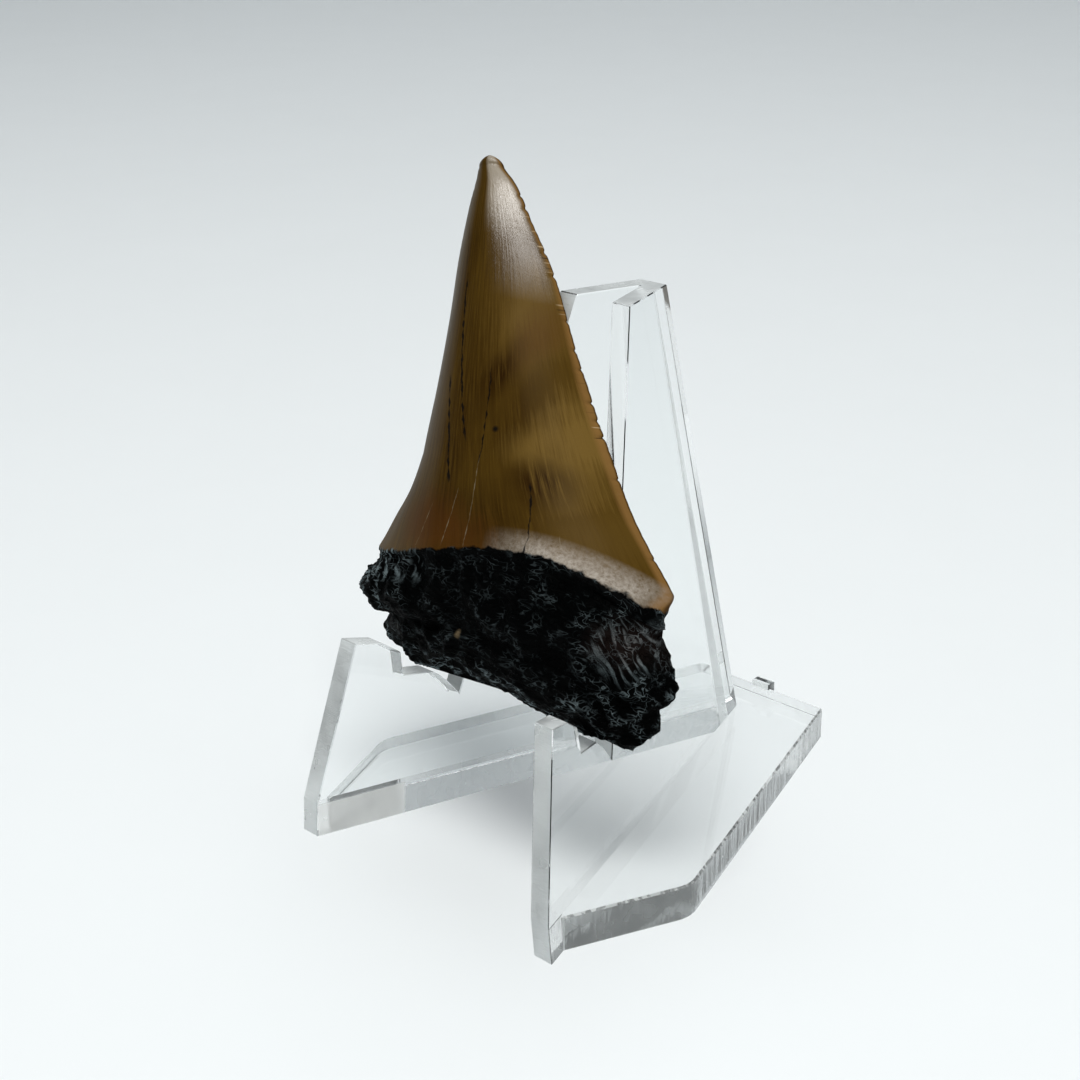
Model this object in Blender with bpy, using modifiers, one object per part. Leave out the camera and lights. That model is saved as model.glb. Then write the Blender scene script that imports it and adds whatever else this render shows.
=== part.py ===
"""A fossil great white shark tooth resting on a clear plastic display stand.

The front faces -Y and +Z is up. The origin is at the bottom centre of the whole object's box.
"""

import math

import bmesh
import bpy
import numpy as np
from mathutils import Vector, noise

MM = 0.001
OBJECT_NAME = "great_white_tooth"

# The stand, in millimetres: two plates that splay to the front and lean inwards,
# drawn first with their meeting line at the back on y = 0.
PLATE_THICKNESS = 2.64
SPLAY = math.radians(17.9)
PLATE_LEAN = math.radians(5.0)
SPINE_HALF_WIDTH = 1.98
BACK_WEB = 2.4
STAND_HEIGHT = 62.6
FOOT_FRONT_Y = -57.1
FOOT_BEND_Z = 4.6
SPINE_BASE_Y = -2.4
SPINE_TOP_Y = -17.8
REST_BASE = (-39.9, 15.0)
REST_TOP = (-27.8, STAND_HEIGHT)
SEAT_BACK = (-43.3, 18.8)
SEAT_FRONT = (-46.9, 19.3)
LIP_BACK = (-47.3, 22.4)
LIP_TOP_BACK = (-49.5, 24.1)
LIP_TOP_FRONT = (-52.7, 24.8)
SEAT_CURVE_POINTS = 4
SEAT_CURVE_RISE = 0.35
FLANGE_HEIGHT = 4.3
FLANGE_WIDTH = 10.0
FLANGE_FRONT = 57.3
FLANGE_CORNER = 45.7
FLANGE_CORNER_RADIUS = 4.0
FLANGE_ROOT = 1.4
BASE_BACK_Y = 3.3
BASE_BACK_HALF_WIDTH = 11.4
BASE_INNER = (1.2, -3.8)
EDGE_ROUND = 0.22
CUT_MARGIN = 8.0

# The gate stub left by the mould on the right flange's back edge.
GATE_SIZE = (2.6, 1.4, 1.5)
GATE_X = 1.8

# The tooth, in millimetres, in the plane that it leans in: x across, v up the plane,
# n out of the plane towards the front.
TOOTH_LEAN = math.radians(14.1)
TOOTH_FOOT = (-40.02, 14.04)
REST_GAP = 0.3
RINGS = 46
SIDE_POINTS = 24
ENAMEL_STATION = 6
RELIEF_DEPTH = 1.3
RELIEF_SIZE = 4.2
SEED_OFFSET = Vector((3.1, 7.4, 1.9))

# Each station is one section from the root's base to the tip: the left end (x, v), the right end
# (x, v), how far the front's middle bows up, the thickness, and the back face's set-off.
STATIONS = (
    (-17.2, 5.8, 19.2, 4.8, -0.2, 6.0, 1.3),
    (-19.6, 6.8, 21.4, 5.9, -0.1, 8.2, 0.5),
    (-22.6, 8.2, 22.0, 8.4, 0.2, 10.2, 0.1),
    (-24.6, 11.0, 22.6, 11.6, 0.7, 11.4, 0.0),
    (-24.2, 13.4, 22.3, 14.6, 1.7, 11.8, 0.0),
    (-23.3, 15.6, 20.3, 17.9, 2.9, 11.5, 0.0),
    (-23.2, 16.7, 19.1, 20.1, 3.6, 11.2, 0.0),
    (-23.3, 17.8, 19.0, 21.4, 3.8, 11.0, 0.0),
    (-22.8, 20.2, 15.5, 24.2, 3.7, 10.5, 0.0),
    (-21.5, 24.2, 12.0, 27.4, 3.4, 10.0, 0.0),
    (-20.6, 30.0, 7.6, 32.7, 3.0, 9.0, 0.0),
    (-20.2, 37.0, 2.9, 39.0, 2.4, 7.8, 0.0),
    (-20.0, 44.0, -1.4, 45.2, 1.8, 6.4, 0.0),
    (-19.8, 51.0, -5.8, 51.7, 1.2, 4.8, 0.0),
    (-19.6, 57.0, -10.4, 57.1, 0.7, 3.4, 0.0),
    (-19.3, 60.6, -13.8, 60.7, 0.4, 2.2, 0.0),
    (-18.9, 62.6, -16.5, 62.8, 0.2, 1.2, 0.0),
)
TIP = (-18.1, 63.6, 0.9)
BOW_SKEW = 1.0
BACK_BOW = -0.35


def remove_everything():
    for obj in list(bpy.data.objects):
        bpy.data.objects.remove(obj, do_unlink=True)


def new_collection(name):
    collection = bpy.data.collections.new(name)
    bpy.context.scene.collection.children.link(collection)
    return collection


def new_object(name, bm, collection):
    mesh = bpy.data.meshes.new(name)
    bm.to_mesh(mesh)
    bm.free()
    obj = bpy.data.objects.new(name, mesh)
    collection.objects.link(obj)
    return obj


def principled(name, colour, roughness, **sockets):
    material = bpy.data.materials.new(name)
    material.use_nodes = True
    shader = material.node_tree.nodes["Principled BSDF"]
    shader.inputs["Base Color"].default_value = (*colour, 1.0)
    shader.inputs["Roughness"].default_value = roughness
    for socket, value in sockets.items():
        shader.inputs[socket.replace("_", " ")].default_value = value
    return material


def clear_plastic():
    return principled("clear_plastic", (0.93, 0.95, 0.96), 0.08, Transmission_Weight=1.0, IOR=1.49)


def enamel():
    return principled("enamel", (0.28, 0.13, 0.045), 0.22)


def root_bone():
    return principled("root_bone", (0.018, 0.02, 0.024), 0.6)


def outer_x(y, z):
    """Half the stand's width outside, at a depth and a height in millimetres."""
    return SPINE_HALF_WIDTH - y * math.tan(SPLAY) - z * math.tan(PLATE_LEAN) / math.cos(SPLAY)


def prism(outline, offset):
    """A closed solid from a flat outline, pushed along an offset."""
    bm = bmesh.new()
    face = bm.faces.new([bm.verts.new(Vector(point) * MM) for point in outline])
    grown = bmesh.ops.extrude_face_region(bm, geom=[face])
    moved = [item for item in grown["geom"] if isinstance(item, bmesh.types.BMVert)]
    bmesh.ops.translate(bm, vec=Vector(offset) * MM, verts=moved)
    bmesh.ops.recalc_face_normals(bm, faces=bm.faces)
    return bm


def seat_curve():
    """The seat's slope from the ledge down to the foot of the tall back, a little crowned."""
    points = []
    for step in range(1, SEAT_CURVE_POINTS):
        part = step / SEAT_CURVE_POINTS
        y = SEAT_BACK[0] + (REST_BASE[0] - SEAT_BACK[0]) * part
        z = SEAT_BACK[1] + (REST_BASE[1] - SEAT_BACK[1]) * part
        points.append((y, z + SEAT_CURVE_RISE * math.sin(math.pi * part)))
    return points


def side_profile():
    """The plates' outline seen from the side, as (y, z)."""
    return [
        (FOOT_FRONT_Y, 0.0),
        (SPINE_BASE_Y, 0.0),
        (SPINE_TOP_Y, STAND_HEIGHT),
        REST_TOP,
        REST_BASE,
        *reversed(seat_curve()),
        SEAT_BACK,
        SEAT_FRONT,
        LIP_BACK,
        LIP_TOP_BACK,
        LIP_TOP_FRONT,
        (FOOT_FRONT_Y, FOOT_BEND_Z),
    ]


def wedge(inset, back_y, name, collection):
    """A block whose two sides lie on the plates' faces, moved in by inset."""
    bm = bmesh.new()
    bmesh.ops.create_cube(bm, size=2.0)
    for vert in bm.verts:
        z = -CUT_MARGIN if vert.co.z < 0 else STAND_HEIGHT + CUT_MARGIN
        y = FOOT_FRONT_Y - CUT_MARGIN if vert.co.y < 0 else back_y(z)
        half = outer_x(y, z) - inset
        vert.co = Vector((math.copysign(half, vert.co.x), y, z)) * MM
    bmesh.ops.recalc_face_normals(bm, faces=bm.faces)
    return cutter(new_object(name, bm, collection))


def cutter(obj):
    obj.hide_render = True
    obj.display_type = "WIRE"
    return obj


def boolean(obj, operation, other):
    modifier = obj.modifiers.new(f"{operation.lower()}_{other.name}", "BOOLEAN")
    modifier.operation = operation
    modifier.solver = "EXACT"
    modifier.object = other


def round_edges(obj, width):
    modifier = obj.modifiers.new("round_edges", "BEVEL")
    modifier.width = width * MM
    modifier.segments = 1
    modifier.limit_method = "ANGLE"
    modifier.angle_limit = math.radians(20)


def spine_y(z):
    return SPINE_BASE_Y + (SPINE_TOP_Y - SPINE_BASE_Y) * z / STAND_HEIGHT


def flange_point(along, out):
    """A point on the floor: along the right plate's outer face from the back, then outwards."""
    forward = (math.sin(SPLAY), -math.cos(SPLAY))
    outward = (math.cos(SPLAY), math.sin(SPLAY))
    x = SPINE_HALF_WIDTH + along * forward[0] + out * outward[0]
    y = along * forward[1] + out * outward[1]
    return x, y


def rounded_corner(before, corner, after, radius, steps=5):
    """The arc that rounds one corner of an outline."""
    corner = Vector(corner)
    to_before = (Vector(before) - corner).normalized()
    to_after = (Vector(after) - corner).normalized()
    half = to_before.angle(to_after) / 2
    centre = corner + (to_before + to_after).normalized() * radius / math.sin(half)
    start = corner + to_before * radius / math.tan(half)
    end = corner + to_after * radius / math.tan(half)
    points = []
    for step in range(steps + 1):
        chord = start.lerp(end, step / steps) - centre
        points.append(tuple(centre + chord.normalized() * radius))
    return points


def base_outline():
    """The foot flanges and the bridge behind the spine as one outline, drawn round from the right front."""
    front = flange_point(FLANGE_FRONT, 0.0)
    corner = flange_point(FLANGE_CORNER, FLANGE_WIDTH)
    back = (BASE_BACK_HALF_WIDTH, BASE_BACK_Y)
    root_front = flange_point(FLANGE_FRONT - FLANGE_ROOT, -FLANGE_ROOT)
    right = [front, *rounded_corner(front, corner, back, FLANGE_CORNER_RADIUS), back]
    inside = [root_front, BASE_INNER]
    outline = right + [(-x, y) for x, y in reversed(right)]
    outline += [(-x, y) for x, y in inside] + list(reversed(inside))
    return [(x, y, 0.0) for x, y in outline]


def make_base(collection):
    base = new_object("base", prism(base_outline(), (0, 0, FLANGE_HEIGHT)), collection)
    round_edges(base, EDGE_ROUND)
    return cutter(base)


def make_gate(collection):
    """The small stub where the plastic ran into the mould."""
    bm = bmesh.new()
    bmesh.ops.create_cube(bm, size=1.0)
    bmesh.ops.scale(bm, vec=Vector(GATE_SIZE) * MM, verts=bm.verts)
    centre = Vector((GATE_X, BASE_BACK_Y, FLANGE_HEIGHT)) * MM
    bmesh.ops.translate(bm, vec=centre, verts=bm.verts)
    return cutter(new_object("gate_stub", bm, collection))


def make_stand(collection, cutters):
    width = 2 * outer_x(FOOT_FRONT_Y, 0.0) + CUT_MARGIN
    outline = [(-width / 2, y, z) for y, z in side_profile()]
    stand = new_object("display_stand", prism(outline, (width, 0, 0)), collection)
    outside = wedge(0.0, lambda z: spine_y(z) + 1.0, "outer_faces", cutters)
    boolean(stand, "INTERSECT", outside)
    inside = wedge(PLATE_THICKNESS, lambda z: spine_y(z) - BACK_WEB, "inner_faces", cutters)
    boolean(stand, "DIFFERENCE", inside)
    round_edges(stand, EDGE_ROUND)
    boolean(stand, "UNION", make_base(cutters))
    boolean(stand, "UNION", make_gate(cutters))
    stand.data.materials.append(clear_plastic())
    return stand


def smooth_stations(count):
    """The stations read along a smooth curve, at evenly spaced sections."""
    table = np.array(STATIONS)
    tangents = np.gradient(table, axis=0)
    last = len(table) - 1
    rows = []
    for position in np.linspace(0, last, count):
        first = min(int(position), last - 1)
        t = position - first
        a, b = table[first], table[first + 1]
        rise = (2 * t**3 - 3 * t**2 + 1) * a + (3 * t**2 - 2 * t**3) * b
        turn = (t**3 - 2 * t**2 + t) * tangents[first] + (t**3 - t**2) * tangents[first + 1]
        rows.append((position, rise + turn))
    return rows


def blade(position):
    """0 on the blunt root, 1 on the sharp crown."""
    return min(max((position - ENAMEL_STATION + 0.5) / 1.5, 0.0), 1.0)


def section(position, row):
    """One ring of points (x, v, n) around the tooth: along the front, then along the back."""
    left_x, left_v, right_x, right_v, bow, thickness, back = row
    sharp = blade(position)
    edge_n = back + min(0.8 + 2.8 * (1 - sharp), 0.45 * thickness)
    points = []
    for side in (1, -1):
        for step in range(SIDE_POINTS):
            u = -side * math.cos(math.pi * step / SIDE_POINTS)
            x = (left_x + right_x) / 2 + (right_x - left_x) / 2 * u
            lift = bow * (1 - u * u) * (1 + BOW_SKEW * u) * (1 if side > 0 else BACK_BOW)
            v = (left_v + right_v) / 2 + (right_v - left_v) / 2 * u + lift
            if side > 0:
                swell = (1 - abs(u) ** (3.0 - 0.8 * sharp)) ** (0.5 + 0.4 * sharp)
                n = edge_n + (thickness - edge_n) * swell
            else:
                n = edge_n + (back - edge_n) * (1 - abs(u) ** (6 - 2 * sharp)) ** 0.5
            points.append(Vector((x, v, n)))
    return points


def ridged(point):
    """Between 0 in a furrow and 1 on a ridge, for the worn bone's wandering relief."""
    return 1 - abs(noise.noise(point / RELIEF_SIZE + SEED_OFFSET)) * 2


def weathered(point, position, middle):
    """A root point sunk towards the section's middle, so that the outline stays its outermost form."""
    rough = min(max((ENAMEL_STATION - 0.2 - position) / 0.8, 0.0), 1.0)
    inward = (middle - point).normalized()
    return point + inward * RELIEF_DEPTH * rough * (1 - ridged(point))


def tooth_to_world(point):
    """From the plane that the tooth leans in to the stand's frame, in millimetres."""
    x, v, n = point
    n += REST_GAP
    cos, sin = math.cos(TOOTH_LEAN), math.sin(TOOTH_LEAN)
    return Vector((x, TOOTH_FOOT[0] + v * sin - n * cos, TOOTH_FOOT[1] + v * cos + n * sin))


def make_tooth(collection):
    """A loft from the root's base to the tip, closed by a fan at each end."""
    bm = bmesh.new()
    rings = []
    for position, row in smooth_stations(RINGS):
        points = section(position, row)
        middle = sum(points, Vector()) / len(points)
        points = [weathered(point, position, middle) for point in points]
        rings.append([bm.verts.new(tooth_to_world(point) * MM) for point in points])
    count = len(rings[0])
    for low, high in zip(rings, rings[1:]):
        for i in range(count):
            j = (i + 1) % count
            bm.faces.new((low[i], low[j], high[j], high[i]))
    base = sum((vert.co for vert in rings[0]), Vector()) / count
    ends = (base, tooth_to_world(TIP) * MM)
    for ring, end in zip((rings[0][::-1], rings[-1]), ends):
        centre = bm.verts.new(end)
        for i in range(count):
            bm.faces.new((ring[i], ring[(i + 1) % count], centre))
    bmesh.ops.recalc_face_normals(bm, faces=bm.faces)
    for face in bm.faces:
        face.smooth = True
    tooth = new_object("tooth", bm, collection)
    tooth.data.materials.append(enamel())
    tooth.data.materials.append(root_bone())
    paint_root(tooth)
    return tooth


def paint_root(tooth):
    """The faces below the enamel line take the root's material."""
    faces_round = 2 * SIDE_POINTS
    root_rings = round(ENAMEL_STATION / (len(STATIONS) - 1) * (RINGS - 1))
    body_faces = faces_round * (RINGS - 1)
    for face in tooth.data.polygons:
        in_root = face.index < root_rings * faces_round
        on_base = body_faces <= face.index < body_faces + faces_round
        face.material_index = 1 if in_root or on_base else 0


def centre_on_origin(objects):
    """Puts the whole object's box over the origin, standing on the floor."""
    bpy.context.view_layer.update()
    graph = bpy.context.evaluated_depsgraph_get()
    corners = []
    for obj in objects:
        mesh = obj.evaluated_get(graph).data
        corners.extend(obj.matrix_world @ vert.co for vert in mesh.vertices)
    points = np.array(corners)
    low, high = points.min(axis=0), points.max(axis=0)
    frame = bpy.data.objects.new("stand_frame", None)
    objects[0].users_collection[0].objects.link(frame)
    frame.location = (-(low[0] + high[0]) / 2, -(low[1] + high[1]) / 2, -low[2])
    return frame


def main():
    remove_everything()
    parts = new_collection(OBJECT_NAME)
    cutters = new_collection("cutters")
    stand = make_stand(parts, cutters)
    tooth = make_tooth(parts)
    frame = centre_on_origin([stand, tooth])
    for obj in (stand, tooth, *cutters.objects):
        obj.parent = frame


main()
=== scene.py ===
"""A fossil great white shark tooth on its clear stand: the finished surfaces, the light and the camera.

It is laid out as an add-on and run as a script. Lengths in the tooth's tables are millimetres.
"""

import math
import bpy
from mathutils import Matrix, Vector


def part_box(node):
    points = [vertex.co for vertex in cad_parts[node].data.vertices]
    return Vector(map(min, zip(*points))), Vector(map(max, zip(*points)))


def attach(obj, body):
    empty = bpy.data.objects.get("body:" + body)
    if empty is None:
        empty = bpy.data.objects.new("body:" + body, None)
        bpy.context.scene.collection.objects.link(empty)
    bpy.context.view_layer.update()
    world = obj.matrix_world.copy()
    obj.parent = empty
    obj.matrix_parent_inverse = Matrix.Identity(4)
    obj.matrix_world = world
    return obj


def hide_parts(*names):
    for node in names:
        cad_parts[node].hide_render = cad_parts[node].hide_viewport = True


bl_info = {
    "name": "Fossil Tooth on a Clear Stand",
    "version": (1, 0, 0),
    "blender": (4, 5, 0),
    "location": "View3D > Sidebar > Fossil Tooth",
    "description": "Builds the fossil tooth, finishes its clear stand and lights them",
    "category": "Object",
}

import bpy
import numpy as np
from mathutils import Vector, noise

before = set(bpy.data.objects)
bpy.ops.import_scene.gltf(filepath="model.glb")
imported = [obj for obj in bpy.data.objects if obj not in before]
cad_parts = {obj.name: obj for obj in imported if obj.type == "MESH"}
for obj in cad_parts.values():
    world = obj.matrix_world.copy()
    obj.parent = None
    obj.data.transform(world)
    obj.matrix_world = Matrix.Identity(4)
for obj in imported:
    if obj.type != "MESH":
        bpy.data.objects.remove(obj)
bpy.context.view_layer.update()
STAND_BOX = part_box("display_stand")

MM = 0.001

# The tooth leans in a plane: x across, v up the plane, n out of it towards the front.
# The foot is the point on that plane at v = 0, measured from the stand's front and its underside.
TOOTH_LEAN = math.radians(14.1)
FOOT_HEIGHT = 14.04
FOOT_BEHIND_FRONT = 17.08
REST_GAP = 0.3

# One section each from the root's base to the tip: the left end (x, v), the right end (x, v),
# how far the front's middle bows up, the thickness, and the back face's set-off.
STATIONS = np.array((
    (-18.6, 4.9, 18.4, 3.9, 0.6, 6.0, 1.3),
    (-20.0, 6.2, 20.7, 5.5, 0.4, 8.2, 0.5),
    (-21.6, 8.3, 22.4, 8.4, 0.3, 10.2, 0.1),
    (-25.0, 11.0, 23.2, 11.5, 0.7, 11.4, 0.0),
    (-24.2, 13.4, 22.9, 14.2, 1.7, 11.8, 0.0),
    (-22.2, 15.2, 20.4, 16.8, 2.9, 11.5, 0.0),
    (-22.0, 16.0, 20.6, 18.6, 3.3, 11.3, 0.0),
    (-22.6, 16.7, 19.6, 20.1, 3.6, 11.2, 0.0),
    (-22.9, 17.8, 18.8, 21.4, 3.8, 11.0, 0.0),
    (-22.7, 20.2, 15.8, 24.2, 3.7, 10.5, 0.0),
    (-21.7, 24.2, 12.3, 27.4, 3.4, 10.0, 0.0),
    (-21.2, 30.0, 8.0, 32.7, 3.0, 9.0, 0.0),
    (-20.6, 37.0, 3.3, 39.0, 2.4, 7.8, 0.0),
    (-20.4, 44.0, -1.0, 45.2, 1.8, 6.4, 0.0),
    (-20.6, 51.0, -5.3, 51.7, 1.2, 4.8, 0.0),
    (-20.2, 57.0, -10.0, 57.1, 0.7, 3.4, 0.0),
    (-19.8, 60.0, -13.1, 60.6, 0.4, 2.4, 0.0),
    (-19.6, 61.9, -15.8, 62.4, 0.3, 1.6, 0.0),
))
TIP = (-18.0, 63.5, 0.9)

# The station at the enamel line, how far the sections' bow leans to the right, and the share of the
# bow that the back has, where it dips instead.
ENAMEL_STATION = 7
BOW_SKEW = 1.0
BACK_BOW = -0.35

# Swells of the root's lower edge: the middle across, the half width and the rise.
LOWER_SWELLS = ((-0.65, 0.18, -0.8), (-0.25, 0.22, 0.8), (0.15, 0.2, 0.4), (0.62, 0.28, -0.5))

# Stations over which the right edge and the left edge turn sharp, from just under the enamel line up.
SHARPENING = (1.5, 4.2)

# Heights v between which the right side of the crown flattens into the facet near the tip.
FLATTENING = (34, 58)

# The dome that closes the tip: its steps, and its shape, where 0.5 is round and 1 is pointed.
TIP_STEPS = 12
TIP_POWER = 0.7

# Noise that shapes the surface: the size of its swells, and where in the noise it is read.
FURROWS = (4.2, (3.1, 7.4, 1.9))
WRINKLES = (1.15, (1.3, 4.4, 8.1))
FINE_WRINKLES = (0.62, (6.3, 2.4, 3.1))
CROWN_SWELLS = (3.4, (9.0, 2.0, 5.0))
CROWN_SWELL_DEPTH = 0.10

# How far in from the cutting edges their wear reaches.
WEAR_REACH = 0.55

# The crease across the root: it climbs from the left end, then runs level and sinks at the right.
CREASE_START = (-19.5, 8.3)
CREASE_KNEE = (-2.0, 12.1)
CREASE_SINK = 0.004
CREASE_WIDTH = 0.75

# Chips in the cutting edges: the height v, the side, 1 for the right, and half the chip's own height.
NICKS = ((59.6, 1, 0.12), (58.3, 1, 0.18), (53.9, 1, 0.2), (51.6, 1, 0.14),
         (47.0, 1, 0.16), (44.1, 1, 0.2), (42.2, 1, 0.14), (38.9, 1, 0.16), (37.2, 1, 0.2),
         (35.6, 1, 0.14), (31.6, 1, 0.16), (24.4, 1, 0.14), (50.5, -1, 0.14), (33.4, -1, 0.16))

# Patches on the crown's front: the middle (x, v), half the width and the height, and the strength.
DARK_CLOUDS = ((-5.0, 40.4, 1.9, 4.6, 0.95), (3.4, 30.2, 3.6, 2.6, 0.9), (0.5, 26.0, 6.5, 3.2, 0.55),
               (-8.5, 36.0, 2.6, 12.0, 0.45), (-15.0, 52.0, 1.6, 8.0, 0.4), (-1.5, 36.5, 2.2, 4.5, 0.5))
TAN_CLOUDS = ((5.6, 35.5, 4.6, 6.5, 0.95), (-4.5, 47.5, 4.5, 6.0, 0.5), (11.5, 25.8, 6.0, 3.0, 0.15),
              (1.0, 33.5, 2.6, 2.2, 0.5))
RED_CLOUDS = ((-7.0, 22.5, 8.5, 3.6, 0.75), (-3.5, 45.0, 2.2, 3.5, 0.4))
CRACK_SPOT = (-3.3, 34.7, 0.42, 0.34, 1.0)

# Patches on the root's front, in the same order.
TAN_SPECK = (-2.7, 11.3, 0.5, 0.42, 0.9)
RUST_PATCH = (18.6, 16.4, 3.4, 2.6, 0.6)
RIGHT_FURROWS = (19.2, 15.8, 2.9, 3.2, 0.9)

# Cracks in the enamel, from the top (x, v) to the bottom (x, v), with a sideways bend and a width.
DARK_CRACKS = ((-14.8, 50.5, -7.0, 32.4, -0.7, 0.24), (-13.2, 39.0, -8.0, 27.4, 0.0, 0.26),
               (-6.4, 41.0, -4.2, 30.4, 0.3, 0.15), (3.0, 30.2, 5.6, 22.8, 0.2, 0.16),
               (-17.2, 55.5, -15.4, 51.0, 0.0, 0.1))
PALE_CRACKS = ((-4.4, 32.0, -3.2, 21.4, 0.2, 0.1), (-6.2, 27.5, -6.8, 20.6, 0.0, 0.1),
               (8.2, 25.6, 10.0, 22.0, 0.0, 0.09), (-10.2, 25.0, -11.2, 19.4, 0.0, 0.08))

# The band along the root, worn enamel with a painted highlight on it: where it starts and ends across, and
# its height.
WORN_AND_HIGHLIGHT_BAND = (3.0, 18.4, 1.35)

# Heights v on the crown: where its right edge's chips and painted glints begin to show, where its left side
# gains polish and a stronger painted sheen, and the middles of the rises to the shiny facet and to the
# painted highlight at the tip.
CHIPPED_FROM = 33.0
POLISHED_FROM = 30.0
FACET_FROM = 55.0
TIP_FROM = 57.5

# Places on the stand, in metres: the tops of its flanges' sides and of the flanges, the top of the frost on
# its front edges, the height over which a plate's top is frosted, the stretch that holds the seats, and the
# right, front and upper ends of the left foot's inner face.
FLANGE_SIDE_TOP = 0.00425
FLANGE_TOP = 0.0046
FRONT_FROST_TOP = 0.036
PLATE_TOP = 0.060
SEAT_LOW = 0.012
SEAT_HIGH = 0.030
FOOT_INNER_FACE = (-0.005, -0.0198, 0.0045)

# Depth of the bump on the tooth and on the stand.
TOOTH_BUMP = 0.2 * MM
STAND_BUMP = 0.12 * MM


# The settings that a user would change.


class ToothSettings(bpy.types.PropertyGroup):
    rings: bpy.props.IntProperty(
        name="Rings", description="Sections from the root to the tip", default=330, min=60, max=400)
    side_points: bpy.props.IntProperty(
        name="Points a Side", description="Points across each face of a section", default=136, min=24)
    relief: bpy.props.FloatProperty(
        name="Root Relief", description="Depth of the worn bone's furrows", unit="LENGTH",
        default=1.0 * MM)
    wrinkle: bpy.props.FloatProperty(
        name="Root Wrinkles", description="Depth of the fine wrinkles", unit="LENGTH", default=0.26 * MM)
    serration: bpy.props.FloatProperty(
        name="Serration", description="Depth of the worn saw teeth", unit="LENGTH", default=0.07 * MM)
    serration_pitch: bpy.props.FloatProperty(
        name="Serration Pitch", description="Spacing of the saw teeth", unit="LENGTH", default=1.15 * MM)
    nick: bpy.props.FloatProperty(
        name="Edge Nicks", description="Depth of the chips in the cutting edges", unit="LENGTH",
        default=0.3 * MM)
    amber: bpy.props.FloatVectorProperty(
        name="Amber", description="Enamel's warm brown", subtype="COLOR", default=(0.076, 0.041, 0.0052))
    umber: bpy.props.FloatVectorProperty(
        name="Umber", description="Enamel's dark fibres and patches", subtype="COLOR",
        default=(0.020, 0.0075, 0.0006))
    tan: bpy.props.FloatVectorProperty(
        name="Tan", description="Enamel's pale patches", subtype="COLOR", default=(0.158, 0.094, 0.021))
    russet: bpy.props.FloatVectorProperty(
        name="Russet", description="Enamel's reddish patches", subtype="COLOR",
        default=(0.068, 0.0235, 0.0038))
    # Painted sheen: a grey that stands in for the pale surroundings that the left side reflects at a grazing
    # angle.
    painted_sheen: bpy.props.FloatVectorProperty(
        name="Weathered Side", description="Enamel that greys towards the left edge", subtype="COLOR",
        default=(0.145, 0.124, 0.095))
    # Painted highlight: the pale colour near the tip stands in for the window light that the tip's facet
    # reflects.
    tip: bpy.props.FloatVectorProperty(
        name="Tip", description="Pale enamel near the tip", subtype="COLOR", default=(0.42, 0.36, 0.27))
    gold: bpy.props.FloatVectorProperty(
        name="Gold", description="The thin cutting edges", subtype="COLOR", default=(0.23, 0.120, 0.036))
    # The worn band's pale colour is partly real wear and partly a painted highlight, where the flare above
    # the enamel line faces the light.
    worn: bpy.props.FloatVectorProperty(
        name="Worn Band", description="Worn enamel along the root", subtype="COLOR",
        default=(0.38, 0.34, 0.29))
    pale_crack: bpy.props.FloatVectorProperty(
        name="Pale Cracks", description="Hairline cracks that catch the light", subtype="COLOR",
        default=(0.24, 0.20, 0.13))
    # Painted glints: bright specks on the right edge's chips that stand in for the light they catch.
    glint: bpy.props.FloatVectorProperty(
        name="Glints", description="Bright chips on the right edge", subtype="COLOR",
        default=(0.55, 0.42, 0.25))
    dark_crack: bpy.props.FloatVectorProperty(
        name="Dark Cracks", description="Cracks filled with dark mineral", subtype="COLOR",
        default=(0.004, 0.003, 0.0025))
    bone: bpy.props.FloatVectorProperty(
        name="Bone Black", description="The mineralised root", subtype="COLOR",
        default=(0.0004, 0.0006, 0.0006))
    # Painted glints: the blue-grey stands in for the light that the root's fine ridges catch.
    ridge_glint: bpy.props.FloatVectorProperty(
        name="Ridge Blue", description="Rubbed ridges of the root", subtype="COLOR",
        default=(0.180, 0.228, 0.240))
    rust: bpy.props.FloatVectorProperty(
        name="Rust", description="Tint at the root's right end", subtype="COLOR",
        default=(0.075, 0.045, 0.036))
    speck: bpy.props.FloatVectorProperty(
        name="Speck", description="The tan speck on the root", subtype="COLOR", default=(0.16, 0.12, 0.07))


class StandSettings(bpy.types.PropertyGroup):
    tint: bpy.props.FloatVectorProperty(
        name="Tint", description="Colour of the clear plastic", subtype="COLOR",
        default=(0.97, 0.985, 0.985))
    polish: bpy.props.FloatProperty(
        name="Polish", description="Roughness of the moulded faces", default=0.03, min=0.0, max=1.0)
    sawn: bpy.props.FloatProperty(
        name="Sawn Faces", description="Roughness of the cut edges", default=0.32, min=0.0, max=1.0)
    frost: bpy.props.FloatVectorProperty(
        name="Frost", description="Colour of the frosted faces", subtype="COLOR",
        default=(0.78, 0.82, 0.82))
    # Painted light: a paler copy of the frost, for the light that reaches the left foot's inner face through
    # the plastic.
    lit_foot_frost: bpy.props.FloatVectorProperty(
        name="Foot Frost", description="Colour of the left foot's inner face", subtype="COLOR",
        default=(0.97, 0.98, 0.96))
    milk: bpy.props.FloatProperty(
        name="Milkiness", description="How far the frosted faces hide what is behind", default=0.86,
        min=0.0, max=1.0)
    ior: bpy.props.FloatProperty(
        name="IOR", description="Refraction of the plastic", default=1.49, min=1.0, max=2.0)


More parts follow.
